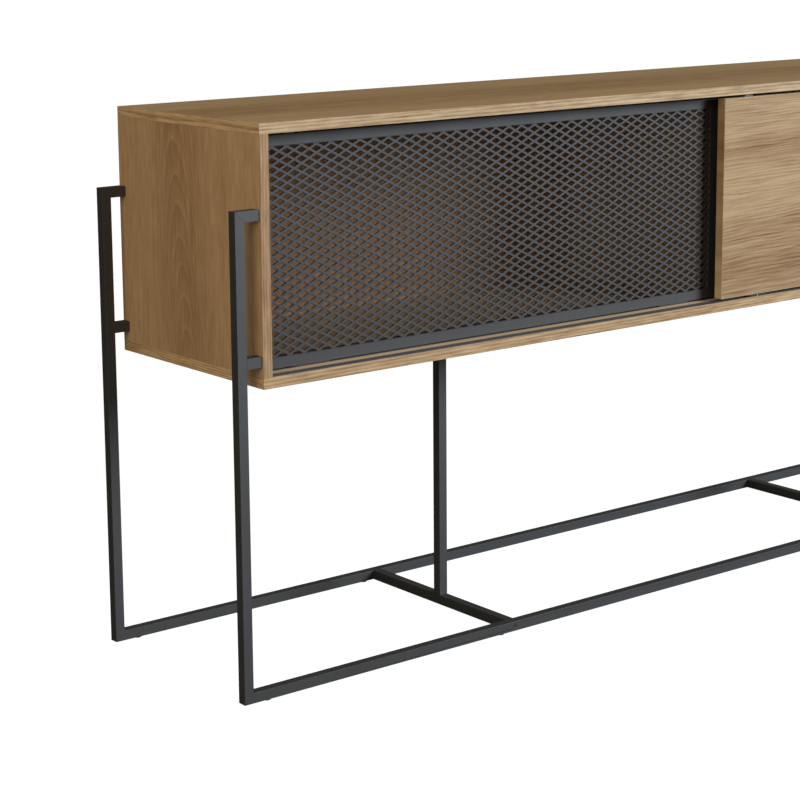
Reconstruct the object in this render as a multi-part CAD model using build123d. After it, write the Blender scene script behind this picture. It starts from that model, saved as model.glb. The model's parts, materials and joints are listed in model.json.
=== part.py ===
"""TV stand: a long panel cabinet with two sliding doors, held by a slim square-tube frame.

Millimetres. +X runs along the cabinet, +Y towards the back, +Z up. The origin is the middle of the
footprint at floor level. One STEP file per piece or per set of like pieces.
"""

import os

from build123d import *

# Cabinet
LENGTH = 1800.0
DEPTH = 360.0
HEIGHT = 360.0
PANEL = 15.0
BAND = 1.0
UNDERSIDE = 441.0
TOP = UNDERSIDE + HEIGHT
FLOOR = UNDERSIDE + PANEL
CEILING = TOP - PANEL
SIDE_OUT = LENGTH / 2
SIDE_IN = SIDE_OUT - PANEL
FRONT = -DEPTH / 2
BACK = DEPTH / 2

# Back panels, set in a rebate round the rear edges
BACK_SHEET = 3.0
REBATE = 8.0
BACK_JOINT = 0.5
DIVIDER_FRONT = -128.0
DIVIDER_HALF = PANEL / 2

# Tube frame
TUBE = 15.0
WALL = 1.2
RAIL_Z = 2.0
LEG_OUT = 940.0
LEG_IN = LEG_OUT - TUBE
LOOP_Y = 178.0
LEG_TOP = UNDERSIDE + 245.0
LOWER_STUB_Z = UNDERSIDE + 30.5
STUB_PLUG = 4.0
CROSSBAR_X = 446.0
CROSSBAR_PLUG = 8.0
POST_PLATE = (60.0, 60.0, 3.0)
POST_PLATE_HOLES = 44.0
GLIDE_X = (470.0, 899.0)
GLIDE_R = 6.0
GLIDE_H = 2.0
GLIDE_STEM_R = 2.5
GLIDE_STEM = 6.0
GLIDE_ROUND = 0.6

# Doors
DOOR_HEIGHT = 321.0
DOOR_DEPTH = 15.0
WOOD_DOOR_FRONT = -177.0
WOOD_DOOR_X = (-7.0, SIDE_IN - 1.0)
WOOD_DOOR_GAP = 4.5
MESH_DOOR_FRONT = -146.5
MESH_DOOR_X = (-SIDE_IN + 1.0, 8.0)
MESH_DOOR_GAP = 3.0
WOOD_DOOR_Y = WOOD_DOOR_FRONT + DOOR_DEPTH / 2
MESH_DOOR_Y = MESH_DOOR_FRONT + DOOR_DEPTH / 2

# Expanded-metal sheet: long way of the diamond, short way, strand width, sheet depth
DIAMOND = (25.0, 12.5)
STRAND = 3.4
MESH_DEPTH = 3.8
MESH_SETBACK = 0.5
MESH_BORDER = 0.8
MESH_SMALLEST = 1.0

# Tracks
TRACK_WALL = 1.0
LIP = 0.8
LOWER_SLOT = 8.0
LOWER_GROOVE = 6.0
FRONT_LIP_WIDTH = 15.0
REAR_LIP_WIDTH = 12.0
UPPER_SLOT = 7.0
UPPER_GROOVE = 7.0
UPPER_LIP_WIDTH = 11.0

# Rollers and guides
ROLLER_R = 7.0
ROLLER_W = 4.0
ROLLER_CHAMFER = 0.3
ROLLER_HEADROOM = 1.0
AXLE_R = 1.5
AXLE_PLAY = 0.05
HOUSING = (40.0, 7.0)
HOUSING_SLOT = (17.0, 4.6)
HOUSING_HEAD = 12.0
CHEEK_DROP = 0.5
FLANGE = (64.0, 12.0, 1.5)
FLANGE_HOLES = 52.0
ROLLER_INSET = 90.0
ROLLER_Z = FLOOR - LOWER_GROOVE + TRACK_WALL + ROLLER_R
GUIDE_INSET = 59.0
GUIDE = (17.0, 8.0)
GUIDE_CLEARANCE = 1.2
TONGUE = (13.0, 5.0, 4.5)
GUIDE_STEM = (2.5, 8.0)

# Fasteners
DOWEL_R = 4.0
DOWEL_IN_PANEL = 10.0
DOWEL_IN_SIDE = 20.0
DOWEL_Y = (-110.0, 10.0, 130.0)
BOLT_R = 3.0
BOLT_HEAD = (6.0, 3.0)
BOLT_HOLE_R = 3.2
BOLT_HEAD_PLAY = 0.2
BOLT_LENGTH = 22.0
BOLT_SOCKET = (2.4, 1.0)
BAR_BOLT_R = 2.5
BAR_BOLT_HEAD_R = 3.5
BAR_BOLT_LENGTH = TUBE + 7.0
HEX_R = 1.7
HEX_DEPTH = 0.8
WOODSCREW_R = 2.0
WOODSCREW_HEAD = (4.0, 1.6)
WOODSCREW_LENGTH = 12.0
PIN_R = 1.25
PIN_HEAD = (3.0, 1.0)
PIN_LENGTH = 12.0
PIN_X = (120.0, 340.0, 560.0, 780.0)
PIN_FROM_CORNER = 60.0
SHORTSCREW_R = 1.5
SHORTSCREW_HEAD_R = 2.75
SHORTSCREW_LENGTH = 6.0


def block(x0, x1, y0, y1, z0, z1):
    """Block between two opposite corners."""
    middle = Pos((x0 + x1) / 2, (y0 + y1) / 2, (z0 + z1) / 2)
    return middle * Box(x1 - x0, y1 - y0, z1 - z0)


def rod(radius, start, end):
    """Round rod along one of the three axes, from start to end."""
    a = Vector(*start)
    b = Vector(*end)
    way = b - a
    plane = Plane(origin=a, z_dir=way.normalized())
    return extrude(plane * Circle(radius), amount=way.length)


def outline(points, y_front, depth):
    """Prism with the given outline in X and Z, from y_front backwards."""
    face = Plane.XZ * Polygon(*points, align=None)
    return Pos(0, y_front + depth, 0) * extrude(face, amount=depth)


def tube_piece(outer, inner, y_front):
    """Length of square tube lying in an X-Z plane, its hollow given by the inner outline."""
    hollow = outline(inner, y_front + WALL, TUBE - 2 * WALL)
    return outline(outer, y_front, TUBE) - hollow


def group(shapes):
    """Several separate solids that are written to one file."""
    solids = []
    for shape in shapes:
        solids.extend(shape.solids())
    return Compound(children=solids)


def minus(shape, tools):
    """Shape with a list of cutters removed, one after another."""
    for tool in tools:
        shape = shape - tool
    return shape


def mirror_x(shapes):
    """The same shapes on the other side of the middle plane."""
    return [mirror(shape, about=Plane.YZ) for shape in shapes]


# Tube frame


def leg(y_front):
    """Left leg of a loop, mitred at the foot and at the head."""
    x0 = -LEG_OUT
    x1 = -LEG_IN
    z0 = RAIL_Z
    z1 = LEG_TOP
    outer = [(x0, z0), (x1, z0 + TUBE), (x1, z1 - TUBE), (x0, z1)]
    inner = [
        (x0 + WALL, z0 + WALL),
        (x1 - WALL, z0 + TUBE - WALL),
        (x1 - WALL, z1 - TUBE + WALL),
        (x0 + WALL, z1 - WALL),
    ]
    return tube_piece(outer, inner, y_front)


def rail(y_front):
    """Floor rail of a loop, mitred into both legs."""
    z0 = RAIL_Z
    z1 = RAIL_Z + TUBE
    outer = [(-LEG_OUT, z0), (LEG_OUT, z0), (LEG_IN, z1), (-LEG_IN, z1)]
    inner = [
        (-LEG_OUT + WALL, z0 + WALL),
        (LEG_OUT - WALL, z0 + WALL),
        (LEG_IN + WALL, z1 - WALL),
        (-LEG_IN - WALL, z1 - WALL),
    ]
    return tube_piece(outer, inner, y_front)


def upper_stub(y_front):
    """Short arm from a leg's head to the cabinet side."""
    z0 = LEG_TOP - TUBE
    z1 = LEG_TOP
    end = -SIDE_OUT
    outer = [(-LEG_OUT, z1), (-LEG_IN, z0), (end, z0), (end, z1)]
    inner = [
        (-LEG_OUT + WALL, z1 - WALL),
        (-LEG_IN - WALL, z0 + WALL),
        (end - STUB_PLUG, z0 + WALL),
        (end - STUB_PLUG, z1 - WALL),
    ]
    return tube_piece(outer, inner, y_front)


def lower_stub(y_front):
    """Short arm from a leg's inner face to the cabinet side."""
    z0 = LOWER_STUB_Z
    z1 = LOWER_STUB_Z + TUBE
    end = -SIDE_OUT
    outer = [(-LEG_IN, z0), (end, z0), (end, z1), (-LEG_IN, z1)]
    inner = [
        (-LEG_IN, z0 + WALL),
        (end - STUB_PLUG, z0 + WALL),
        (end - STUB_PLUG, z1 - WALL),
        (-LEG_IN, z1 - WALL),
    ]
    return tube_piece(outer, inner, y_front)


def loop_fronts():
    """Front faces of the two loops of tube."""
    return (-LOOP_Y, LOOP_Y - TUBE)


def stub_bolts():
    """Bolts from inside the cabinet through each side into each arm, left end."""
    bolts = []
    holes = []
    head_r, head_h = BOLT_HEAD
    socket_r, socket_floor = BOLT_SOCKET
    for y_front in loop_fronts():
        for z in (LEG_TOP - TUBE / 2, LOWER_STUB_Z + TUBE / 2):
            y = y_front + TUBE / 2
            face = -SIDE_IN
            head = rod(head_r, (face - head_h, y, z), (face, y, z))
            shank = rod(BOLT_R, (face - BOLT_LENGTH, y, z), (face - head_h, y, z))
            socket = rod(socket_r, (face - head_h + socket_floor, y, z), (face, y, z))
            bolts.append(head + shank - socket)
            holes.append(rod(BOLT_HOLE_R, (-SIDE_OUT, y, z), (face, y, z)))
            holes.append(rod(head_r + BOLT_HEAD_PLAY, (face - head_h, y, z), (face, y, z)))
    return bolts, holes


def bar_bolts():
    """Countersunk bolts through each rail into the ends of each crossbar."""
    bolts = []
    for x in (-CROSSBAR_X, CROSSBAR_X):
        for side in (-1, 1):
            z = RAIL_Z + TUBE / 2
            y = side * LOOP_Y
            y_head = side * (LOOP_Y - WALL)
            y_end = side * (LOOP_Y - BAR_BOLT_LENGTH)
            head = rod(BAR_BOLT_HEAD_R, (x, y, z), (x, y_head, z))
            shank = rod(BAR_BOLT_R, (x, y_head, z), (x, y_end, z))
            socket = rod(HEX_R, (x, y, z), (x, side * (LOOP_Y - HEX_DEPTH), z))
            bolts.append(head + shank - socket)
    return bolts


def bar_bolt_cutters():
    """Plain rods the size of the crossbar bolts, for their holes."""
    cutters = []
    for x in (-CROSSBAR_X, CROSSBAR_X):
        for side in (-1, 1):
            z = RAIL_Z + TUBE / 2
            y = side * LOOP_Y
            y_head = side * (LOOP_Y - WALL)
            y_end = side * (LOOP_Y - BAR_BOLT_LENGTH)
            cutters.append(rod(BAR_BOLT_HEAD_R, (x, y, z), (x, y_head, z)))
            cutters.append(rod(BAR_BOLT_R, (x, y_head, z), (x, y_end, z)))
    return cutters


def crossbar(x):
    """Floor bar between the two rails, with solid ends for its bolts."""
    half = LOOP_Y - TUBE
    bar = block(x - TUBE / 2, x + TUBE / 2, -half, half, RAIL_Z, RAIL_Z + TUBE)
    inside = TUBE / 2 - WALL
    hollow_end = half - CROSSBAR_PLUG
    hollow = block(
        x - inside, x + inside, -hollow_end, hollow_end, RAIL_Z + WALL, RAIL_Z + TUBE - WALL
    )
    return bar - hollow


def post(x):
    """Upright from a crossbar to the plate under the cabinet."""
    z0 = RAIL_Z + TUBE
    z1 = UNDERSIDE - POST_PLATE[2]
    half = TUBE / 2
    inside = half - WALL
    return block(x - half, x + half, -half, half, z0, z1) - block(
        x - inside, x + inside, -inside, inside, z0, z1
    )


def plate_screw(x, y):
    """Wood screw up through a post plate, its head below the plate."""
    z = UNDERSIDE - POST_PLATE[2]
    head = rod(WOODSCREW_HEAD[0], (x, y, z - WOODSCREW_HEAD[1]), (x, y, z))
    return head + rod(WOODSCREW_R, (x, y, z), (x, y, z + WOODSCREW_LENGTH))


def plate_screws():
    """Four screws in each post plate."""
    half = POST_PLATE_HOLES / 2
    screws = []
    for x in (-CROSSBAR_X, CROSSBAR_X):
        for dx in (-half, half):
            for dy in (-half, half):
                screws.append(plate_screw(x + dx, dy))
    return screws


def post_plate(x, screws):
    """Plate on a post's head, drilled for its screws."""
    dx, dy, dz = POST_PLATE
    plate = block(x - dx / 2, x + dx / 2, -dy / 2, dy / 2, UNDERSIDE - dz, UNDERSIDE)
    return minus(plate, screws)


def glides():
    """Plastic discs under the rails, each with a stem in the tube wall."""
    found = []
    for x in GLIDE_X:
        for side in (-1, 1):
            y = side * (LOOP_Y - TUBE / 2)
            disc = rod(GLIDE_R, (x, y, 0), (x, y, GLIDE_H))
            disc = fillet(disc.edges().group_by(Axis.Z)[0], GLIDE_ROUND)
            found.append(disc + rod(GLIDE_STEM_R, (x, y, GLIDE_H), (x, y, GLIDE_H + GLIDE_STEM)))
    return found + mirror_x(found)


# Cabinet


def dowels():
    """Dowels between top or bottom and the two sides and the divider."""
    found = []
    for x in (-SIDE_OUT + PANEL / 2, 0.0, SIDE_OUT - PANEL / 2):
        for y in DOWEL_Y:
            low = UNDERSIDE + PANEL
            high = TOP - PANEL
            found.append(rod(DOWEL_R, (x, y, low - DOWEL_IN_PANEL), (x, y, low + DOWEL_IN_SIDE)))
            found.append(rod(DOWEL_R, (x, y, high - DOWEL_IN_SIDE), (x, y, high + DOWEL_IN_PANEL)))
    return found


def track_groove(y, slot, low, high):
    """Groove cutter for one track, between the two sides."""
    half = slot / 2 + TRACK_WALL
    return block(-SIDE_IN, SIDE_IN, y - half, y + half, low, high)


def lower_track(y, lip_width):
    """Channel let into the floor, with lips lying on it."""
    half = LOWER_SLOT / 2 + TRACK_WALL
    bottom = FLOOR - LOWER_GROOVE
    body = block(-SIDE_IN, SIDE_IN, y - half, y + half, bottom, FLOOR)
    lips = block(-SIDE_IN, SIDE_IN, y - lip_width / 2, y + lip_width / 2, FLOOR, FLOOR + LIP)
    slot = block(
        -SIDE_IN, SIDE_IN, y - LOWER_SLOT / 2, y + LOWER_SLOT / 2, bottom + TRACK_WALL, FLOOR + LIP
    )
    return body + lips - slot


def upper_track(y):
    """Channel let into the underside of the top, with small lips."""
    half = UPPER_SLOT / 2 + TRACK_WALL
    top = CEILING + UPPER_GROOVE
    lip_half = UPPER_LIP_WIDTH / 2
    body = block(-SIDE_IN, SIDE_IN, y - half, y + half, CEILING, top)
    lips = block(-SIDE_IN, SIDE_IN, y - lip_half, y + lip_half, CEILING - LIP, CEILING)
    slot = block(
        -SIDE_IN, SIDE_IN, y - UPPER_SLOT / 2, y + UPPER_SLOT / 2, CEILING - LIP, top - TRACK_WALL
    )
    return body + lips - slot


def back_rebate():
    """Space the back panels fill, as one cutter."""
    x = SIDE_OUT - PANEL + REBATE
    z0 = UNDERSIDE + PANEL - REBATE
    z1 = TOP - PANEL + REBATE
    return block(-x, x, BACK - BACK_SHEET, BACK, z0, z1)


def back_pin(x, z):
    """Countersunk pin through a back panel."""
    head = rod(PIN_HEAD[0], (x, BACK, z), (x, BACK - PIN_HEAD[1], z))
    shank = rod(PIN_R, (x, BACK - PIN_HEAD[1], z), (x, BACK - PIN_LENGTH, z))
    return head + shank


def back_pins():
    """Pins round the rebate and down the divider."""
    edge = SIDE_OUT - PANEL + REBATE / 2
    low = UNDERSIDE + PANEL - REBATE / 2
    high = TOP - PANEL + REBATE / 2
    pins = []
    for z in (low + PIN_FROM_CORNER, (low + high) / 2, high - PIN_FROM_CORNER):
        for x in (-edge, -REBATE / 2, REBATE / 2, edge):
            pins.append(back_pin(x, z))
    for x in PIN_X:
        for z in (low, high):
            pins.append(back_pin(-x, z))
            pins.append(back_pin(x, z))
    return pins


def back_panel(pins):
    """Left back panel; its inner edge stops on the divider."""
    x0 = -(SIDE_OUT - PANEL + REBATE)
    z0 = UNDERSIDE + PANEL - REBATE
    z1 = TOP - PANEL + REBATE
    sheet = block(x0, -BACK_JOINT / 2, BACK - BACK_SHEET, BACK, z0, z1)
    return minus(sheet, pins)


def flat_panel(z0, z1, cutters):
    """Top or bottom panel between its front and end bands."""
    x = SIDE_OUT - BAND
    return minus(block(-x, x, FRONT + BAND, BACK, z0, z1), cutters)


def side_panel(cutters):
    """Left side between top and bottom, behind its front band."""
    slab = block(-SIDE_OUT, -SIDE_IN, FRONT + BAND, BACK, FLOOR, CEILING)
    return minus(slab, cutters)


def divider(cutters):
    """Middle partition behind both doors, behind its front band."""
    half = DIVIDER_HALF
    slab = block(-half, half, DIVIDER_FRONT + BAND, BACK - BACK_SHEET, FLOOR, CEILING)
    return minus(slab, cutters)


def end_bands():
    """Edge bands on the four ends of the top and bottom panels."""
    bands = []
    for z0 in (UNDERSIDE, CEILING):
        bands.append(block(-SIDE_OUT, -SIDE_OUT + BAND, FRONT + BAND, BACK, z0, z0 + PANEL))
    return bands + mirror_x(bands)


# Doors


def roller(x, y):
    """Small wheel with a bore that runs on its axle."""
    wheel = rod(ROLLER_R, (x, y - ROLLER_W / 2, ROLLER_Z), (x, y + ROLLER_W / 2, ROLLER_Z))
    wheel = chamfer(wheel.edges(), ROLLER_CHAMFER)
    bore_r = AXLE_R + AXLE_PLAY
    bore = rod(bore_r, (x, y - ROLLER_W, ROLLER_Z), (x, y + ROLLER_W, ROLLER_Z))
    return wheel - bore


def axle(x, y):
    """Pin through the housing's two cheeks."""
    half = HOUSING[1] / 2
    return rod(AXLE_R, (x, y - half, ROLLER_Z), (x, y + half, ROLLER_Z))


def housing(x, y, door_bottom):
    """Roller carrier: a body let into the door, and a flange under it."""
    length, width = HOUSING
    slot_length, slot_width = HOUSING_SLOT
    foot = FLOOR - CHEEK_DROP
    head = door_bottom + HOUSING_HEAD
    body = block(x - length / 2, x + length / 2, y - width / 2, y + width / 2, foot, head)
    fl, fw, ft = FLANGE
    flange = block(
        x - fl / 2, x + fl / 2, y - fw / 2, y + fw / 2, door_bottom - ft, door_bottom
    )
    slot = block(
        x - slot_length / 2,
        x + slot_length / 2,
        y - slot_width / 2,
        y + slot_width / 2,
        foot,
        ROLLER_Z + ROLLER_R + ROLLER_HEADROOM,
    )
    return body + flange - slot - axle(x, y)


def housing_pocket(x, y, door_bottom):
    """Cutter for the part of a housing that is inside the door."""
    length, width = HOUSING
    top = door_bottom + HOUSING_HEAD
    return block(x - length / 2, x + length / 2, y - width / 2, y + width / 2, door_bottom, top)


def housing_screws(x, y, door_bottom):
    """Two countersunk screws up through a housing's flange."""
    screws = []
    low = door_bottom - FLANGE[2]
    for dx in (-FLANGE_HOLES / 2, FLANGE_HOLES / 2):
        head = Pos(x + dx, y, low + FLANGE[2] / 2) * Cone(
            SHORTSCREW_HEAD_R, SHORTSCREW_R, FLANGE[2]
        )
        shank = rod(
            SHORTSCREW_R, (x + dx, y, door_bottom), (x + dx, y, low + SHORTSCREW_LENGTH)
        )
        screws.append(head + shank)
    return screws


def top_guide(x, y, door_top):
    """Guide block on the door's top edge, its tongue up in the track, its stem down in the door."""
    length, width = GUIDE
    shoulder = CEILING - GUIDE_CLEARANCE
    body = block(x - length / 2, x + length / 2, y - width / 2, y + width / 2, door_top, shoulder)
    tl, tw, rise = TONGUE
    tongue = block(x - tl / 2, x + tl / 2, y - tw / 2, y + tw / 2, shoulder, CEILING + rise)
    stem_r, stem_length = GUIDE_STEM
    stem = rod(stem_r, (x, y, door_top - stem_length), (x, y, door_top))
    return body + tongue + stem


def door_fittings(x_range, y, gap):
    """Everything that carries and guides one door, by kind."""
    bottom = FLOOR + gap
    top = bottom + DOOR_HEIGHT
    roller_x = (x_range[0] + ROLLER_INSET, x_range[1] - ROLLER_INSET)
    guide_x = (x_range[0] + GUIDE_INSET, x_range[1] - GUIDE_INSET)
    screws = []
    for x in roller_x:
        screws.extend(housing_screws(x, y, bottom))
    return {
        "rollers": [roller(x, y) for x in roller_x],
        "axles": [axle(x, y) for x in roller_x],
        "screws": screws,
        "housings": [minus(housing(x, y, bottom), screws) for x in roller_x],
        "pockets": [housing_pocket(x, y, bottom) for x in roller_x],
        "guides": [top_guide(x, y, top) for x in guide_x],
    }


def wood_door(fittings):
    """Door panel and its edge bands, with the fittings' pockets cut."""
    x0, x1 = WOOD_DOOR_X
    y0 = WOOD_DOOR_FRONT
    y1 = WOOD_DOOR_FRONT + DOOR_DEPTH
    z0 = FLOOR + WOOD_DOOR_GAP
    z1 = z0 + DOOR_HEIGHT
    cutters = fittings["pockets"] + fittings["guides"] + fittings["screws"]
    core = minus(block(x0 + BAND, x1 - BAND, y0, y1, z0 + BAND, z1 - BAND), cutters)
    bottom = minus(block(x0 + BAND, x1 - BAND, y0, y1, z0, z0 + BAND), cutters)
    top = minus(block(x0 + BAND, x1 - BAND, y0, y1, z1 - BAND, z1), cutters)
    left = block(x0, x0 + BAND, y0, y1, z0, z1)
    right = block(x1 - BAND, x1, y0, y1, z0, z1)
    return core, [bottom, top], [left, right]


def mesh_frame_piece(outer, inner, cutters):
    """One mitred length of the door frame's tube."""
    return minus(tube_piece(outer, inner, MESH_DOOR_FRONT), cutters)


def mesh_door_frame(fittings):
    """Stiles and rails of the mesh door, mitred at the corners."""
    x0, x1 = MESH_DOOR_X
    z0 = FLOOR + MESH_DOOR_GAP
    z1 = z0 + DOOR_HEIGHT
    t = TUBE
    w = WALL
    cutters = fittings["pockets"] + fittings["guides"] + fittings["screws"]
    left = mesh_frame_piece(
        [(x0, z0), (x0 + t, z0 + t), (x0 + t, z1 - t), (x0, z1)],
        [(x0 + w, z0 + w), (x0 + t - w, z0 + t - w), (x0 + t - w, z1 - t + w), (x0 + w, z1 - w)],
        [],
    )
    right = mesh_frame_piece(
        [(x1, z0), (x1, z1), (x1 - t, z1 - t), (x1 - t, z0 + t)],
        [(x1 - w, z0 + w), (x1 - w, z1 - w), (x1 - t + w, z1 - t + w), (x1 - t + w, z0 + t - w)],
        [],
    )
    bottom = mesh_frame_piece(
        [(x0, z0), (x1, z0), (x1 - t, z0 + t), (x0 + t, z0 + t)],
        [(x0 + w, z0 + w), (x1 - w, z0 + w), (x1 - t + w, z0 + t - w), (x0 + t - w, z0 + t - w)],
        cutters,
    )
    top = mesh_frame_piece(
        [(x0, z1), (x0 + t, z1 - t), (x1 - t, z1 - t), (x1, z1)],
        [(x0 + w, z1 - w), (x0 + t - w, z1 - t + w), (x1 - t + w, z1 - t + w), (x1 - w, z1 - w)],
        cutters,
    )
    return left, right, bottom, top


def clip(points, axis, limit, sign):
    """Convex outline cut off beyond a limit on one axis."""
    kept = []
    for a, b in zip(points, points[1:] + points[:1]):
        a_in = sign * (a[axis] - limit) <= 0
        b_in = sign * (b[axis] - limit) <= 0
        if a_in:
            kept.append(a)
        if a_in != b_in:
            s = (limit - a[axis]) / (b[axis] - a[axis])
            kept.append((a[0] + s * (b[0] - a[0]), a[1] + s * (b[1] - a[1])))
    return kept


def outline_area(points):
    """Area inside an outline."""
    total = 0.0
    for a, b in zip(points, points[1:] + points[:1]):
        total += a[0] * b[1] - b[0] * a[1]
    return abs(total) / 2


def diamond_openings(x0, x1, z0, z1):
    """Diamond openings of the sheet, clipped to its border."""
    long_way, short_way = DIAMOND
    to_side = long_way * short_way / (2 * (long_way**2 + short_way**2) ** 0.5)
    shrink = 1 - STRAND / 2 / to_side
    half_x = long_way / 2 * shrink
    half_z = short_way / 2 * shrink
    columns = round((x1 - x0) / (long_way / 2))
    rows = int((z1 - z0) / (short_way / 2))
    start_x = (x0 + x1) / 2 - columns * long_way / 4
    start_z = (z0 + z1) / 2 - rows * short_way / 4
    found = []
    for i in range(-1, columns + 2):
        for j in range(-1, rows + 2):
            if (i + j) % 2 == 1:
                continue
            x = start_x + i * long_way / 2
            z = start_z + j * short_way / 2
            points = [(x - half_x, z), (x, z - half_z), (x + half_x, z), (x, z + half_z)]
            for axis, limit, sign in (
                (0, x0 + MESH_BORDER, -1),
                (0, x1 - MESH_BORDER, 1),
                (1, z0 + MESH_BORDER, -1),
                (1, z1 - MESH_BORDER, 1),
            ):
                points = clip(points, axis, limit, sign) if points else []
            if len(points) > 2 and outline_area(points) > MESH_SMALLEST:
                found.append(points)
    return found


def mesh_sheet():
    """Expanded-metal sheet that fills the door frame."""
    x0 = MESH_DOOR_X[0] + TUBE
    x1 = MESH_DOOR_X[1] - TUBE
    z0 = FLOOR + MESH_DOOR_GAP + TUBE
    z1 = FLOOR + MESH_DOOR_GAP + DOOR_HEIGHT - TUBE
    back = MESH_DOOR_FRONT + MESH_SETBACK + MESH_DEPTH
    border = [(x0, back, z0), (x1, back, z0), (x1, back, z1), (x0, back, z1)]
    holes = []
    for points in diamond_openings(x0, x1, z0, z1):
        holes.append(Wire.make_polygon([(x, back, z) for x, z in points]))
    face = Face(Wire.make_polygon(border), holes)
    return extrude(face, amount=MESH_DEPTH, dir=(0, -1, 0))


def frame_parts():
    """Nodes of the tube frame."""
    y_front, y_back = loop_fronts()
    bolts, holes = stub_bolts()
    bar_holes = bar_bolt_cutters()
    feet = glides()
    screws = plate_screws()
    upper = [minus(upper_stub(y), bolts) for y in loop_fronts()]
    lower = [minus(lower_stub(y), bolts) for y in loop_fronts()]
    legs = [leg(y) for y in loop_fronts()]
    right_legs = mirror_x(legs)
    nodes = {
        "front_left_leg": legs[0],
        "back_left_leg": legs[1],
        "front_right_leg": right_legs[0],
        "back_right_leg": right_legs[1],
        "front_rail": minus(rail(y_front), feet + bar_holes),
        "back_rail": minus(rail(y_back), feet + bar_holes),
        "upper_arms": group(upper + mirror_x(upper)),
        "lower_arms": group(lower + mirror_x(lower)),
        "left_crossbar": minus(crossbar(-CROSSBAR_X), bar_holes),
        "right_crossbar": minus(crossbar(CROSSBAR_X), bar_holes),
        "left_post": post(-CROSSBAR_X),
        "right_post": post(CROSSBAR_X),
        "post_plates": group([post_plate(x, screws) for x in (-CROSSBAR_X, CROSSBAR_X)]),
        "plate_screws": group(screws),
        "arm_bolts": group(bolts + mirror_x(bolts)),
        "crossbar_bolts": group(bar_bolts()),
        "glides": group(feet),
    }
    return nodes, holes + mirror_x(holes), screws


def cabinet_parts(bolt_holes, screws):
    """Nodes of the cabinet without its doors."""
    pegs = dowels()
    pins = back_pins()
    rebate = back_rebate()
    lower_grooves = []
    upper_grooves = []
    for y in (WOOD_DOOR_Y, MESH_DOOR_Y):
        lower_grooves.append(track_groove(y, LOWER_SLOT, FLOOR - LOWER_GROOVE, FLOOR))
        upper_grooves.append(track_groove(y, UPPER_SLOT, CEILING, CEILING + UPPER_GROOVE))
    shared = pegs + pins + [rebate]
    left_side = side_panel(shared + bolt_holes)
    left_back = back_panel(pins)
    left_band = block(-SIDE_OUT, -SIDE_IN, FRONT, FRONT + BAND, FLOOR, CEILING)
    half = DIVIDER_HALF
    divider_band = block(
        -half, half, DIVIDER_FRONT, DIVIDER_FRONT + BAND, FLOOR, CEILING
    )
    return {
        "top_panel": flat_panel(CEILING, TOP, shared + upper_grooves),
        "bottom_panel": flat_panel(UNDERSIDE, FLOOR, shared + lower_grooves + screws),
        "left_side": left_side,
        "right_side": mirror_x([left_side])[0],
        "divider": divider(pegs + pins),
        "left_back_panel": left_back,
        "right_back_panel": mirror_x([left_back])[0],
        "back_panel_pins": group(pins),
        "carcass_dowels": group(pegs),
        "top_front_band": block(-SIDE_OUT, SIDE_OUT, FRONT, FRONT + BAND, CEILING, TOP),
        "bottom_front_band": block(-SIDE_OUT, SIDE_OUT, FRONT, FRONT + BAND, UNDERSIDE, FLOOR),
        "left_side_band": left_band,
        "right_side_band": mirror_x([left_band])[0],
        "divider_band": divider_band,
        "panel_end_bands": group(end_bands()),
        "front_lower_track": lower_track(WOOD_DOOR_Y, FRONT_LIP_WIDTH),
        "rear_lower_track": lower_track(MESH_DOOR_Y, REAR_LIP_WIDTH),
        "front_upper_track": upper_track(WOOD_DOOR_Y),
        "rear_upper_track": upper_track(MESH_DOOR_Y),
    }


def door_nodes(prefix, fittings):
    """Nodes of one door's rollers, axles, housings, screws and guides."""
    return {
        prefix + "_left_roller": fittings["rollers"][0],
        prefix + "_right_roller": fittings["rollers"][1],
        prefix + "_axles": group(fittings["axles"]),
        prefix + "_roller_housings": group(fittings["housings"]),
        prefix + "_housing_screws": group(fittings["screws"]),
        prefix + "_top_guides": group(fittings["guides"]),
    }


def door_parts():
    """Nodes of both doors."""
    wood = door_fittings(WOOD_DOOR_X, WOOD_DOOR_Y, WOOD_DOOR_GAP)
    mesh = door_fittings(MESH_DOOR_X, MESH_DOOR_Y, MESH_DOOR_GAP)
    core, long_bands, upright_bands = wood_door(wood)
    left, right, bottom, top = mesh_door_frame(mesh)
    nodes = {
        "wood_door_panel": core,
        "wood_door_long_bands": group(long_bands),
        "wood_door_upright_bands": group(upright_bands),
        "mesh_door_left_stile": left,
        "mesh_door_right_stile": right,
        "mesh_door_bottom_rail": bottom,
        "mesh_door_top_rail": top,
        "mesh_door_sheet": mesh_sheet(),
    }
    nodes.update(door_nodes("wood_door", wood))
    nodes.update(door_nodes("mesh_door", mesh))
    return nodes


def main():
    """Build every node and write it."""
    os.makedirs("parts", exist_ok=True)
    nodes, bolt_holes, screws = frame_parts()
    nodes.update(cabinet_parts(bolt_holes, screws))
    nodes.update(door_parts())
    for name, shape in nodes.items():
        export_step(shape, "parts/" + name + ".step", write_pcurves=False)


main()
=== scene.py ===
"""A low TV cabinet of light oak laminate, with a mesh sliding door and a wood one, on a square-tube stand."""

import json
import math

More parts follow.
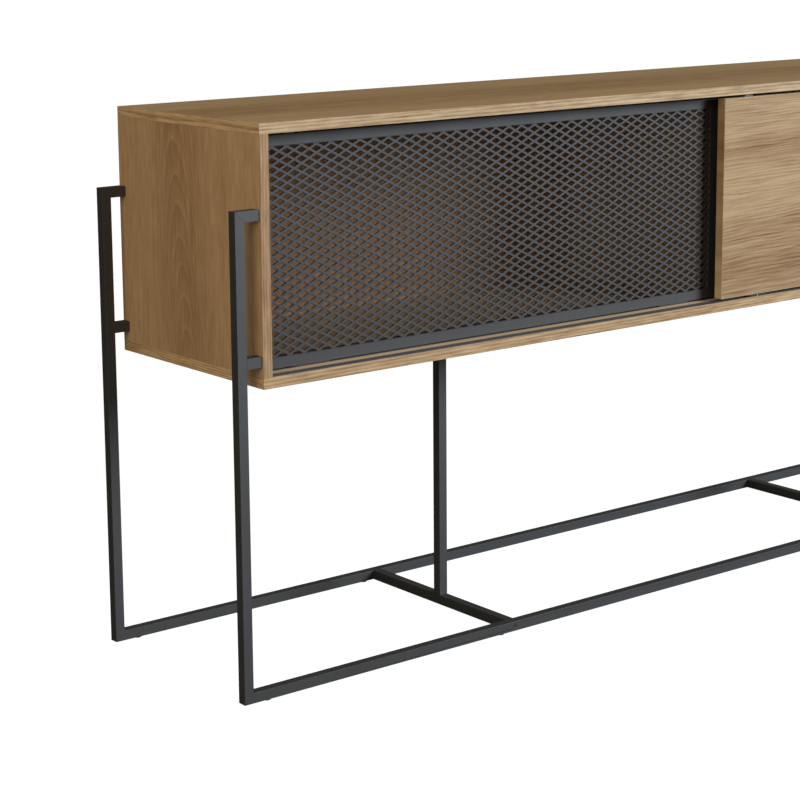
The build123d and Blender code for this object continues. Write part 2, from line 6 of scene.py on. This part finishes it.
import bpy
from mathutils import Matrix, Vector

MM = 0.001
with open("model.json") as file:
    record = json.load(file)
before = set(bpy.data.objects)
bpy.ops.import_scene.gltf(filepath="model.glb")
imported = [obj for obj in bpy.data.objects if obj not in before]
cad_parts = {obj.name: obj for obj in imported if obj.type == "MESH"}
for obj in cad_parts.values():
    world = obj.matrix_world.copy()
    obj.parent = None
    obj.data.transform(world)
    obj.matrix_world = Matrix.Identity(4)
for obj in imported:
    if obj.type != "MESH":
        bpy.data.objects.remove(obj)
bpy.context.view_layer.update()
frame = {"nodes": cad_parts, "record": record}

# Camera: to the left of the cabinet and a little above it, with a long lens.
CAMERA_PLACE = Vector((-2.503, -2.508, 1.067))
CAMERA_TURN = (79.76, 0.44, -38.37)
CAMERA_LENS = 96.36
CAMERA_SHIFT = -0.12

# Lights: a broad key in front and to the right, a weak warm fill from the left, and a dim warm room.
# A light's turn is to the right of the cabinet's front and its height above level, both in degrees.
AIM = Vector((0, 0, 0.55))
KEY_TURN = 34
KEY_HEIGHT = 20
KEY_DISTANCE = 6.0
KEY_SIZE = 2.8
KEY_POWER = 346
KEY_COLOUR = (0.94, 0.97, 1.0)
FILL_TURN = -62
FILL_HEIGHT = 20
FILL_DISTANCE = 4.0
FILL_SIZE = 3.0
FILL_POWER = 56
FILL_COLOUR = (1.0, 0.82, 0.58)
ROOM_COLOUR = (1.0, 0.90, 0.74)
ROOM_STRENGTH = 0.125
WHITE = (1, 1, 1, 1)

# Floor: how much light it gives back. The camera sees it white.
FLOOR_SIZE = 60
FLOOR_GREY = (0.16, 0.16, 0.16, 1)

# Powder coat: how strongly it reflects, the cool tint of what it reflects, and the paler colour painted along
# its edges as a highlight.
COAT_IOR = 1.62
COAT_SHEEN = (0.90, 0.95, 1.0, 1)
COAT_EDGE_HIGHLIGHT = (0.035, 0.036, 0.038)
# How far its colour and its roughness vary from place to place, and the relief of its orange peel.
COAT_DEEP = 0.80
COAT_PALE = 1.22
COAT_PATCHES = 0.12
COAT_PEEL_DEPTH = 0.04 * MM
COAT_PEEL_STRENGTH = 0.5

# Edges of the metal and of the boards are broken by this much, and the painted highlight on powder coat
# reaches this far from an edge.
TUBE_EDGE = 0.3 * MM
BOARD_EDGE = 0.25 * MM
SHEET_EDGE = 0.3 * MM
EDGE_HIGHLIGHT_REACH = 0.6 * MM
# Only edges that turn by more than this are broken, once points nearer than that are joined.
SHARP_TURN = math.radians(40)
SAME_POINT = 0.01 * MM


# ---- node helpers -------------------------------------------------------------------------------

NOISE_ROUGHNESS = 0.55
# How finely an edge is felt for, and how quickly the turn of the surface counts as one.
EDGE_SAMPLES = 4
EDGE_GAIN = 5.0


def tinted(colour, factor):
    return tuple(factor * c for c in colour)


class Shade:
    """One material and the nodes that make it."""

    def __init__(self, name):
        self.material = bpy.data.materials.new(name)
        self.material.use_nodes = True
        self.nodes = self.material.node_tree.nodes
        self.links = self.material.node_tree.links
        self.nodes.clear()
        self.out = self.nodes.new("ShaderNodeOutputMaterial")
        self.shader = self.nodes.new("ShaderNodeBsdfPrincipled")
        self.links.new(self.shader.outputs[0], self.out.inputs[0])
        self.place = self.nodes.new("ShaderNodeTexCoord").outputs["Object"]

    def feed(self, socket, value):
        """Puts a number, colour or another node's output into a socket."""
        if isinstance(value, bpy.types.NodeSocket):
            self.links.new(value, socket)
        else:
            socket.default_value = value

    def set(self, **values):
        """Sets sockets of the main shader by name, with _ for a space."""
        for name, value in values.items():
            self.feed(self.shader.inputs[name.replace("_", " ")], value)

    def calc(self, operation, a, b=0.0, c=0.0, clamp=False):
        made = self.nodes.new("ShaderNodeMath")
        made.operation = operation
        made.use_clamp = clamp
        for socket, value in zip(made.inputs, (a, b, c)):
            self.feed(socket, value)
        return made.outputs[0]

    def centred(self, value):
        """A value from 0 to 1, moved to lie about 0."""
        return self.calc("SUBTRACT", value, 0.5)

    def share(self, a, b, part):
        """That part of the first value and the rest of the second."""
        return self.calc("MULTIPLY_ADD", a, part, self.calc("MULTIPLY", b, 1 - part))

    def split(self, vector):
        made = self.nodes.new("ShaderNodeSeparateXYZ")
        self.feed(made.inputs[0], vector)
        return made.outputs

    def join(self, x, y, z):
        made = self.nodes.new("ShaderNodeCombineXYZ")
        for socket, value in zip(made.inputs, (x, y, z)):
            self.feed(socket, value)
        return made.outputs[0]

    def scaled(self, vector, scale):
        made = self.nodes.new("ShaderNodeMapping")
        self.feed(made.inputs["Vector"], vector)
        made.inputs["Scale"].default_value = scale
        return made.outputs[0]

    def noise(self, vector, scale=1.0, detail=3.0):
        made = self.nodes.new("ShaderNodeTexNoise")
        self.feed(made.inputs["Vector"], vector)
        made.inputs["Scale"].default_value = scale
        made.inputs["Detail"].default_value = detail
        made.inputs["Roughness"].default_value = NOISE_ROUGHNESS
        return made.outputs["Fac"]

    def ramp(self, value, *stops):
        """A colour or grey ramp through (position, colour) stops."""
        made = self.nodes.new("ShaderNodeValToRGB")
        elements = made.color_ramp.elements
        while len(elements) < len(stops):
            elements.new(0.5)
        for element, (position, colour) in zip(elements, stops):
            element.position = position
            colour = colour if isinstance(colour, tuple) else (colour,) * 3
            element.color = (*colour, 1)
        self.feed(made.inputs[0], value)
        return made.outputs[0]

    def mix(self, amount, a, b):
        made = self.nodes.new("ShaderNodeMix")
        made.data_type = "RGBA"
        self.feed(made.inputs["Factor"], amount)
        self.feed(made.inputs[6], a if not isinstance(a, tuple) else (*a, 1))
        self.feed(made.inputs[7], b if not isinstance(b, tuple) else (*b, 1))
        return made.outputs[2]

    def bump(self, height, distance, strength):
        made = self.nodes.new("ShaderNodeBump")
        made.inputs["Strength"].default_value = strength
        made.inputs["Distance"].default_value = distance
        self.feed(made.inputs["Height"], height)
        return made.outputs[0]

    def edge(self, radius):
        """0 on a flat face, rising to 1 along its edges."""
        bevel = self.nodes.new("ShaderNodeBevel")
        bevel.samples = EDGE_SAMPLES
        bevel.inputs["Radius"].default_value = radius
        flat = self.nodes.new("ShaderNodeNewGeometry").outputs["True Normal"]
        turn = self.nodes.new("ShaderNodeVectorMath")
        turn.operation = "DOT_PRODUCT"
        self.feed(turn.inputs[0], bevel.outputs[0])
        self.feed(turn.inputs[1], flat)
        bent = self.calc("SUBTRACT", 1.0, turn.outputs["Value"])
        return self.calc("MULTIPLY", bent, EDGE_GAIN, clamp=True)


# ---- wood: what the boards are like -------------------------------------------------------------

AXES = {"X": 0, "Y": 1, "Z": 2}

# Tone across one growth ring, from its inner to its outer edge: 0 is pale and 1 is brown.
ARCHES = ((0.0, 0.42), (0.45, 0.56), (0.84, 0.80), (0.92, 0.16), (1.0, 0.22))
LINES = ((0.0, 0.22), (0.35, 0.30), (0.72, 0.85), (0.86, 0.80), (1.0, 0.22))

# How the rings wander (noise per metre along and across the grain) and how unevenly they are spaced.
WANDER_ALONG = 3.0
WANDER_ACROSS = 9.0
UNEVEN_SCALE = 70.0
UNEVEN_RINGS = 1.6

# Streaks of three widths, as noise per metre across the grain, and how far they follow the rings.
STREAK_SCALES = (38.0, 150.0, 420.0)
STREAKS_FOLLOW = 0.6
# How strong each width is on a board, on the door and on a band, and its noise per metre along the grain.
BOARD_STREAKS = (0.8, 1.1, 0.9)
DOOR_STREAKS = (0.6, 1.0, 1.4)
BAND_STREAKS = (0.8, 1.3, 1.2)
BOARD_DASHES = (3.0, 16.0, 28.0)
DOOR_DASHES = (3.0, 9.0, 13.0)

# Pores: noise per metre along and across the grain, where they start, and how strong and dark they are.
PORES_ALONG = 45.0
PORES_ACROSS = 1300.0
PORE_STOPS = ((0.60, 0.0), (0.72, 1.0))
PORE_STRENGTH = 0.25
PORE_DARKNESS = 0.6
# Relief: how deep the pores are, how high the finest streaks stand beside them, and how much of it shows.
PORE_DEPTH = 0.06 * MM
STREAK_RELIEF = 0.4
OAK_BUMP = 0.5

# The laminate's sheen: its roughness on pale wood, how much rougher brown wood is, and its reflection.
OAK_ROUGHNESS = 0.54
BROWN_ROUGHNESS = 0.12
OAK_SPECULAR = 0.24


def log_rings(centre=0.0, lean=0.0, slope=0.02, depth=0.25, spacing=5 * MM, wander=0.012, profile=LINES,
              near=0.3, far=0.3, reach=0.1, heart=0.0, tilt=0.0):
    """How a board's growth rings lie, in metres from the board's middle.

    The middle of the log runs at centre across the board, with a lean along it, and depth below its
    face, with a slope. The rings are as clear as near over the log's middle and as far beyond reach,
    heart is how much browner the wood is over the middle, and tilt turns the grain against the board.
    """
    return {
        "centre": centre,
        "lean": lean,
        "slope": slope,
        "depth": depth,
        "spacing": spacing,
        "wander": wander,
        "profile": profile,
        "near": near,
        "far": far,
        "reach": reach,
        "heart": heart,
        "tilt": tilt,
    }


SIDE_RINGS = log_rings(
    centre=0.020, lean=0.086, slope=0.12, depth=0.046, spacing=5.2 * MM, wander=0.006,
    profile=ARCHES, near=0.80, far=0.20, reach=0.080, heart=0.30,
)
TOP_RINGS = log_rings(
    centre=-0.02, slope=0.012, depth=0.02, spacing=6 * MM, wander=0.02, near=0.16, far=0.10, reach=0.12,
)
DOOR_RINGS = log_rings(
    centre=-0.35, slope=0.0, depth=0.30, spacing=4.2 * MM, wander=0.020, near=0.42, far=0.42, reach=0.4,
    tilt=0.05,
)
BAND_RINGS = log_rings(
    centre=0.3, lean=0.01, slope=0.0, depth=0.30, spacing=3.5 * MM, near=0.7, far=0.7, reach=0.4,
)

# Broad zones across each kind of board, as (place across it, tone added).
SIDE_ZONES = (
    (0.0, 0.30), (0.12, 0.42), (0.22, 0.34), (0.42, 0.50), (0.66, 0.48), (0.76, 0.36), (1.0, 0.34),
)
TOP_ZONES = (
    (0.0, 0.22), (0.20, 0.28), (0.34, 0.66), (0.60, 0.72), (0.72, 0.34), (0.90, 0.22), (1.0, 0.30),
)
DOOR_ZONES = (
    (0.0, 0.36), (0.09, 0.50), (0.17, 0.72), (0.25, 0.50), (0.42, 0.46), (0.50, 0.16), (0.70, 0.20),
    (0.80, 0.66), (0.88, 0.24), (1.0, 0.28),
)
BAND_ZONES = ((0.0, 0.45), (1.0, 0.45))

# Pale and brown tones of each kind of board. The divider's and the bottom panel's are paler than the rest, as
# painted light inside the cabinet.
SIDE_TONES = ((0.585, 0.412, 0.240), (0.365, 0.225, 0.118))
TOP_TONES = ((0.58, 0.405, 0.205), (0.34, 0.205, 0.098))
DIVIDER_TONES_PAINTED_LIGHT = ((0.78, 0.60, 0.36), (0.58, 0.42, 0.24))
BOTTOM_TONES_PAINTED_LIGHT = ((0.74, 0.55, 0.34), (0.55, 0.38, 0.21))
DOOR_TONES = ((0.50, 0.365, 0.215), (0.215, 0.11, 0.052))
BAND_TONES = ((0.64, 0.50, 0.325), (0.28, 0.172, 0.095))
# How much the tone of some bands differs from that.
BAND_TINTS = {
    "left_side_band": (0.81, 0.72, 0.67),
    "right_side_band": (0.81, 0.72, 0.67),
    "bottom_front_band": (0.96, 0.91, 0.83),
    "panel_end_bands": (1.15, 1.09, 0.97),
    "wood_door_upright_bands": (0.98, 0.96, 0.90),
}
NO_TINT = (1, 1, 1)

# A band taller than this many metres stands upright. Each band has a seed of its own.
UPRIGHT = 0.1
FIRST_BAND_SEED = 20.0
BAND_SEED_STEP = 3.0


# ---- wood: how it is made -----------------------------------------------------------------------


def board_place(shade, piece, along, across):
    """Distances from the middle of a board, along and across its grain, and its width."""
    corners = [Vector(corner) for corner in piece.bound_box]
    middle = sum(corners, Vector()) / len(corners)
    i, j = AXES[along], AXES[across]
    width = max(corner[j] for corner in corners) - min(corner[j] for corner in corners)
    parts = shade.split(shade.place)
    u = shade.calc("SUBTRACT", parts[i], middle[i])
    v = shade.calc("SUBTRACT", parts[j], middle[j])
    return u, v, width


def stretched(shade, u, v, along, across, seed):
    """A place for noise that varies that fast along and across the grain."""
    return shade.join(shade.calc("MULTIPLY", u, along), shade.calc("MULTIPLY", v, across), seed)


def figure(shade, u, v, seed, rings):
    """Growth rings of a log cut at a slant: arches in the middle of the board, lines beside them."""
    wave = shade.noise(stretched(shade, u, v, WANDER_ALONG, WANDER_ACROSS, seed), detail=2)
    wave = shade.calc("MULTIPLY", shade.centred(wave), rings["wander"])
    heart = shade.calc("MULTIPLY_ADD", u, rings["lean"], rings["centre"])
    side = shade.calc("ADD", shade.calc("SUBTRACT", v, heart), wave)
    level = shade.calc("ADD", shade.calc("MULTIPLY_ADD", u, rings["slope"], rings["depth"]), wave)
    squares = shade.calc("MULTIPLY_ADD", level, level, shade.calc("MULTIPLY", side, side))
    radius = shade.calc("SQRT", squares)
    uneven = shade.noise(shade.join(shade.calc("MULTIPLY", radius, UNEVEN_SCALE), seed, 0.0), detail=1)
    phase = shade.calc("MULTIPLY_ADD", uneven, UNEVEN_RINGS, shade.calc("DIVIDE", radius, rings["spacing"]))
    tone = shade.ramp(shade.calc("FRACT", phase), *rings["profile"])
    far = shade.calc("DIVIDE", shade.calc("ABSOLUTE", side), rings["reach"], clamp=True)
    fade = shade.calc("MULTIPLY_ADD", far, rings["far"] - rings["near"], rings["near"])
    brown = shade.calc("MULTIPLY", shade.calc("SUBTRACT", 1.0, far), rings["heart"])
    return shade.calc("MULTIPLY_ADD", shade.centred(tone), fade, brown), wave


def oak(name, piece, grain, tones, rings, zones, seed, streaks=BOARD_STREAKS, dashes=BOARD_DASHES):
    """Satin oak laminate: growth rings, streaks of three widths, broad zones of tone, and pores.

    Grain names the axis along the grain and the one across it.
    """
    light, dark = tones
    shade = Shade(name)
    u, v, width = board_place(shade, piece, *grain)
    v = shade.calc("MULTIPLY_ADD", u, -rings["tilt"], v)
    total, wave = figure(shade, u, v, seed, rings)
    bent = shade.calc("MULTIPLY_ADD", wave, STREAKS_FOLLOW, v)
    for strength, scale, dash in zip(streaks, STREAK_SCALES, dashes):
        streak = shade.noise(stretched(shade, u, bent, dash, scale, seed + scale))
        total = shade.calc("MULTIPLY_ADD", shade.centred(streak), strength, total)
    zone = shade.ramp(shade.calc("MULTIPLY_ADD", bent, 1 / width, 0.5), *zones)
    total = shade.calc("ADD", total, zone, clamp=True)
    pores = shade.noise(stretched(shade, u, v, PORES_ALONG, PORES_ACROSS, seed), detail=1)
    pores = shade.ramp(pores, *PORE_STOPS)
    colour = shade.mix(total, light, dark)
    colour = shade.mix(shade.calc("MULTIPLY", pores, PORE_STRENGTH), colour, tinted(dark, PORE_DARKNESS))
    height = shade.calc("SUBTRACT", shade.calc("MULTIPLY", streak, STREAK_RELIEF), pores)
    shade.set(
        Base_Color=colour,
        Roughness=shade.calc("MULTIPLY_ADD", total, BROWN_ROUGHNESS, OAK_ROUGHNESS),
        Normal=shade.bump(height, PORE_DEPTH, OAK_BUMP),
        Specular_IOR_Level=OAK_SPECULAR,
    )
    return shade.material


def oak_boards(nodes):
    """A material for each board, each with its own figure."""
    made = {}
    # The divider inside the cabinet gets paler tones: painted light.
    for name, seed, tones in (
        ("left_side", 1.0, SIDE_TONES),
        ("right_side", 7.0, SIDE_TONES),
        ("divider", 13.0, DIVIDER_TONES_PAINTED_LIGHT),
    ):
        made[name] = oak(name, nodes[name], "ZY", tones, SIDE_RINGS, SIDE_ZONES, seed)
    # The bottom panel, the floor inside the cabinet, gets paler tones: painted light.
    for name, seed, tones in (
        ("top_panel", 3.0, TOP_TONES),
        ("bottom_panel", 9.0, BOTTOM_TONES_PAINTED_LIGHT),
    ):
        made[name] = oak(name, nodes[name], "XY", tones, TOP_RINGS, TOP_ZONES, seed)
    door = nodes["wood_door_panel"]
    made["wood_door_panel"] = oak(
        "door", door, "XZ", DOOR_TONES, DOOR_RINGS, DOOR_ZONES, 5.0, DOOR_STREAKS, DOOR_DASHES
    )
    return made


def band_material(name, piece, seed):
    """Edge band: pale oak with lines along its length."""
    heights = [corner[AXES["Z"]] for corner in piece.bound_box]
    grain = "ZX" if max(heights) - min(heights) > UPRIGHT else "XZ"
    if "end" in name:
        grain = "YZ"
    tint = BAND_TINTS.get(name, NO_TINT)
    tones = [tuple(a * b for a, b in zip(tone, tint)) for tone in BAND_TONES]
    return oak(name, piece, grain, tones, BAND_RINGS, BAND_ZONES, seed, BAND_STREAKS)


def back_board():
    """Smooth red-brown fibreboard with a faint printed grain, in tones paler than its own: painted light
    inside the cabinet.
    """
    shade = Shade("back_board")
    streak = shade.noise(shade.scaled(shade.place, (2, 60, 60)), detail=4)
    speck = shade.noise(shade.place, scale=900, detail=2)
    total = shade.share(speck, streak, 0.3)
    # Tones made paler than the board's own red-brown: painted light inside the cabinet.
    colour = shade.ramp(total, (0.3, (0.59, 0.33, 0.165)), (0.7, (0.49, 0.265, 0.125)))
    shade.set(Base_Color=colour, Roughness=0.55, Normal=shade.bump(speck, 0.05 * MM, 0.4))
    return shade.material


def beech():
    """Raw beech dowels with short flecks."""
    shade = Shade("beech")
    fleck = shade.noise(shade.scaled(shade.place, (400, 400, 90)), detail=3)
    colour = shade.ramp(fleck, (0.35, (0.66, 0.47, 0.29)), (0.7, (0.50, 0.32, 0.18)))
    shade.set(Base_Color=colour, Roughness=0.7, Normal=shade.bump(fleck, 0.05 * MM, 0.5))
    return shade.material


# ---- metal and plastic --------------------------------------------------------------------------


def powder_coat(name, colour, roughness, gloss=1.0, painted_side_shading=None):
    """Powder coat: faint orange peel, uneven sheen, a painted edge highlight, and painted shading in cut
    holes.

    The last argument is a brown tone painted as light and shade on faces that don't look to the front or the
    back.
    """
    shade = Shade(name)
    cloud = shade.noise(shade.place, scale=14, detail=3)
    peel = shade.noise(shade.place, scale=1500, detail=2)
    tone = shade.share(peel, cloud, 0.35)
    base = shade.ramp(tone, (0.3, tinted(colour, COAT_DEEP)), (0.7, tinted(colour, COAT_PALE)))
    # A paler colour painted along edges as a highlight, broken up by noise.
    painted_edge_highlight = shade.calc("MULTIPLY", shade.edge(EDGE_HIGHLIGHT_REACH), shade.noise(shade.place, scale=60, detail=4))
    base = shade.mix(painted_edge_highlight, base, COAT_EDGE_HIGHLIGHT)
    # Faces that don't look to the front or the back get a painted tone for their light and shade.
    if painted_side_shading is not None:
        facing = shade.split(shade.nodes.new("ShaderNodeTexCoord").outputs["Normal"])[AXES["Y"]]
        base = shade.mix(shade.calc("ABSOLUTE", facing), painted_side_shading, base)
    rough = shade.calc("MULTIPLY_ADD", cloud, COAT_PATCHES, roughness - COAT_PATCHES / 2)
    normal = shade.bump(peel, COAT_PEEL_DEPTH, COAT_PEEL_STRENGTH)
    shade.set(Base_Color=base, Roughness=rough, Normal=normal)
    shade.set(IOR=COAT_IOR, Specular_IOR_Level=gloss, Specular_Tint=COAT_SHEEN)
    return shade.material


def plastic(name, colour, roughness=0.5, speckle=900):
    """Moulded plastic with a fine spark-eroded texture."""
    shade = Shade(name)
    grain = shade.noise(shade.place, scale=speckle, detail=2)
    cloud = shade.noise(shade.place, scale=30, detail=2)
    tone = shade.share(grain, cloud, 0.4)
    base = shade.ramp(tone, (0.3, tinted(colour, 0.85)), (0.7, tinted(colour, 1.12)))
    rough = shade.calc("MULTIPLY_ADD", grain, 0.1, roughness)
    shade.set(Base_Color=base, Roughness=rough, Normal=shade.bump(grain, 0.05 * MM, 0.3))
    return shade.material


def bright_steel(name, colour, roughness=0.3):
    """Plated steel with fine turning marks and dull patches."""
    shade = Shade(name)
    marks = shade.noise(shade.scaled(shade.place, (300, 300, 2600)), detail=3)
    dull = shade.noise(shade.place, scale=160, detail=3)
    base = shade.ramp(dull, (0.35, tinted(colour, 0.75)), (0.65, colour))
    rough = shade.calc("MULTIPLY_ADD", dull, 0.25, roughness)
    shade.set(Base_Color=base, Metallic=1.0, Roughness=rough, Normal=shade.bump(marks, 0.02 * MM, 0.4))
    return shade.material


# ---- which material goes on which slot ----------------------------------------------------------


def slot_materials():
    """One material for each material slot of the record that isn't oak."""
    return {
        "graphite_tube": powder_coat("graphite_tube", (0.009, 0.010, 0.0125), 0.62),
        "door_tube": powder_coat("door_tube", (0.018, 0.019, 0.023), 0.60, 0.75),
        # The mesh's side faces get a brown tone of painted light and shade.
        "expanded_metal": powder_coat(
            "expanded_metal", (0.018, 0.021, 0.027), 0.60, 0.66, painted_side_shading=(0.060, 0.045, 0.031)
        ),
        "track_metal": powder_coat("track_metal", (0.028, 0.032, 0.040), 0.38),
        "black_bolt": powder_coat("black_bolt", (0.035, 0.035, 0.038), 0.36),
        "screw_steel": bright_steel("screw_steel", (0.58, 0.58, 0.60)),
        "axle_steel": bright_steel("axle_steel", (0.62, 0.62, 0.64), 0.2),
        "glide_plastic": plastic("glide_plastic", (0.03, 0.03, 0.032), 0.55),
        "housing_plastic": plastic("housing_plastic", (0.06, 0.06, 0.065)),
        "roller_nylon": plastic("roller_nylon", (0.70, 0.70, 0.67), 0.35, 1200),
        "guide_plastic": plastic("guide_plastic", (0.13, 0.145, 0.19), 0.4),
        "back_board": back_board(),
        "beech": beech(),
    }


def soften(piece, width, segments=1):
    """Breaks a node's sharp edges with a small rounding, which leaves its size as it is."""
    weld = piece.modifiers.new("weld", "WELD")
    weld.merge_threshold = SAME_POINT
    bevel = piece.modifiers.new("edges", "BEVEL")
    bevel.width = width
    bevel.segments = segments
    bevel.limit_method = "ANGLE"
    bevel.angle_limit = SHARP_TURN
    bevel.harden_normals = False


def dress_nodes():
    """Gives every CAD node its material, and rounds the edges of the metal and of the boards."""
    materials = slot_materials()
    boards = oak_boards(frame["nodes"])
    slots = {part["node"]: part["material_slot"] for part in frame["record"]["subparts"]}
    for count, (name, piece) in enumerate(sorted(frame["nodes"].items())):
        slot = slots[name]
        if slot.startswith("oak"):
            seed = FIRST_BAND_SEED + BAND_SEED_STEP * count
            material = boards.get(name) or band_material(name, piece, seed)
        else:
            material = materials[slot]
        piece.data.materials.clear()
        piece.data.materials.append(material)
        if slot in ("graphite_tube", "door_tube"):
            soften(piece, TUBE_EDGE, segments=2)
        elif slot.startswith("oak"):
            soften(piece, BOARD_EDGE)
        elif slot == "expanded_metal":
            soften(piece, SHEET_EDGE)


# ---- stage --------------------------------------------------------------------------------------


def make_floor():
    """A wide floor that the camera sees as white and that gives little light back to the stand."""
    bpy.ops.mesh.primitive_plane_add(size=FLOOR_SIZE)
    floor = bpy.context.object
    floor.name = "floor"
    shade = Shade("floor")
    shade.set(Base_Color=FLOOR_GREY, Roughness=0.9, Specular_IOR_Level=0.1)
    glow = shade.nodes.new("ShaderNodeEmission")
    seen = shade.nodes.new("ShaderNodeLightPath").outputs["Is Camera Ray"]
    shade.feed(glow.inputs["Strength"], seen)
    both = shade.nodes.new("ShaderNodeAddShader")
    shade.links.new(shade.shader.outputs[0], both.inputs[0])
    shade.links.new(glow.outputs[0], both.inputs[1])
    shade.links.new(both.outputs[0], shade.out.inputs[0])
    floor.data.materials.append(shade.material)


def make_light(name, place, size, power, colour):
    """A round area light that shines at the cabinet."""
    data = bpy.data.lights.new(name, "AREA")
    data.shape = "DISK"
    data.size = size
    data.energy = power
    data.color = colour
    light = bpy.data.objects.new(name, data)
    bpy.context.scene.collection.objects.link(light)
    light.location = place
    light.rotation_mode = "QUATERNION"
    light.rotation_quaternion = (AIM - place).to_track_quat("-Z", "Y")


def around(turn, height, distance):
    """A point that far from the cabinet, turn degrees to the right of its front and height above it."""
    turn, height = math.radians(turn), math.radians(height)
    right = math.sin(turn) * math.cos(height)
    back = -math.cos(turn) * math.cos(height)
    return AIM + distance * Vector((right, back, math.sin(height)))


def make_lights():
    make_light("key", around(KEY_TURN, KEY_HEIGHT, KEY_DISTANCE), KEY_SIZE, KEY_POWER, KEY_COLOUR)
    make_light("fill", around(FILL_TURN, FILL_HEIGHT, FILL_DISTANCE), FILL_SIZE, FILL_POWER, FILL_COLOUR)


def make_room():
    """A dim warm room, which the camera sees as white."""
    world = bpy.data.worlds.new("room")
    bpy.context.scene.world = world
    world.use_nodes = True
    nodes, links = world.node_tree.nodes, world.node_tree.links
    dim = nodes["Background"]
    dim.inputs["Color"].default_value = (*ROOM_COLOUR, 1)
    dim.inputs["Strength"].default_value = ROOM_STRENGTH
    white = nodes.new("ShaderNodeBackground")
    white.inputs["Color"].default_value = WHITE
    seen = nodes.new("ShaderNodeLightPath").outputs["Is Camera Ray"]
    pick = nodes.new("ShaderNodeMixShader")
    links.new(seen, pick.inputs[0])
    links.new(dim.outputs[0], pick.inputs[1])
    links.new(white.outputs[0], pick.inputs[2])
    links.new(pick.outputs[0], nodes["World Output"].inputs[0])


def make_camera():
    data = bpy.data.cameras.new("camera")
    data.lens = CAMERA_LENS
    data.shift_y = CAMERA_SHIFT
    camera = bpy.data.objects.new("camera", data)
    bpy.context.scene.collection.objects.link(camera)
    camera.location = CAMERA_PLACE
    camera.rotation_euler = [math.radians(angle) for angle in CAMERA_TURN]
    bpy.context.scene.camera = camera


make_camera()
dress_nodes()
make_floor()
make_lights()
make_room()
bpy.context.scene.view_settings.view_transform = "Standard"
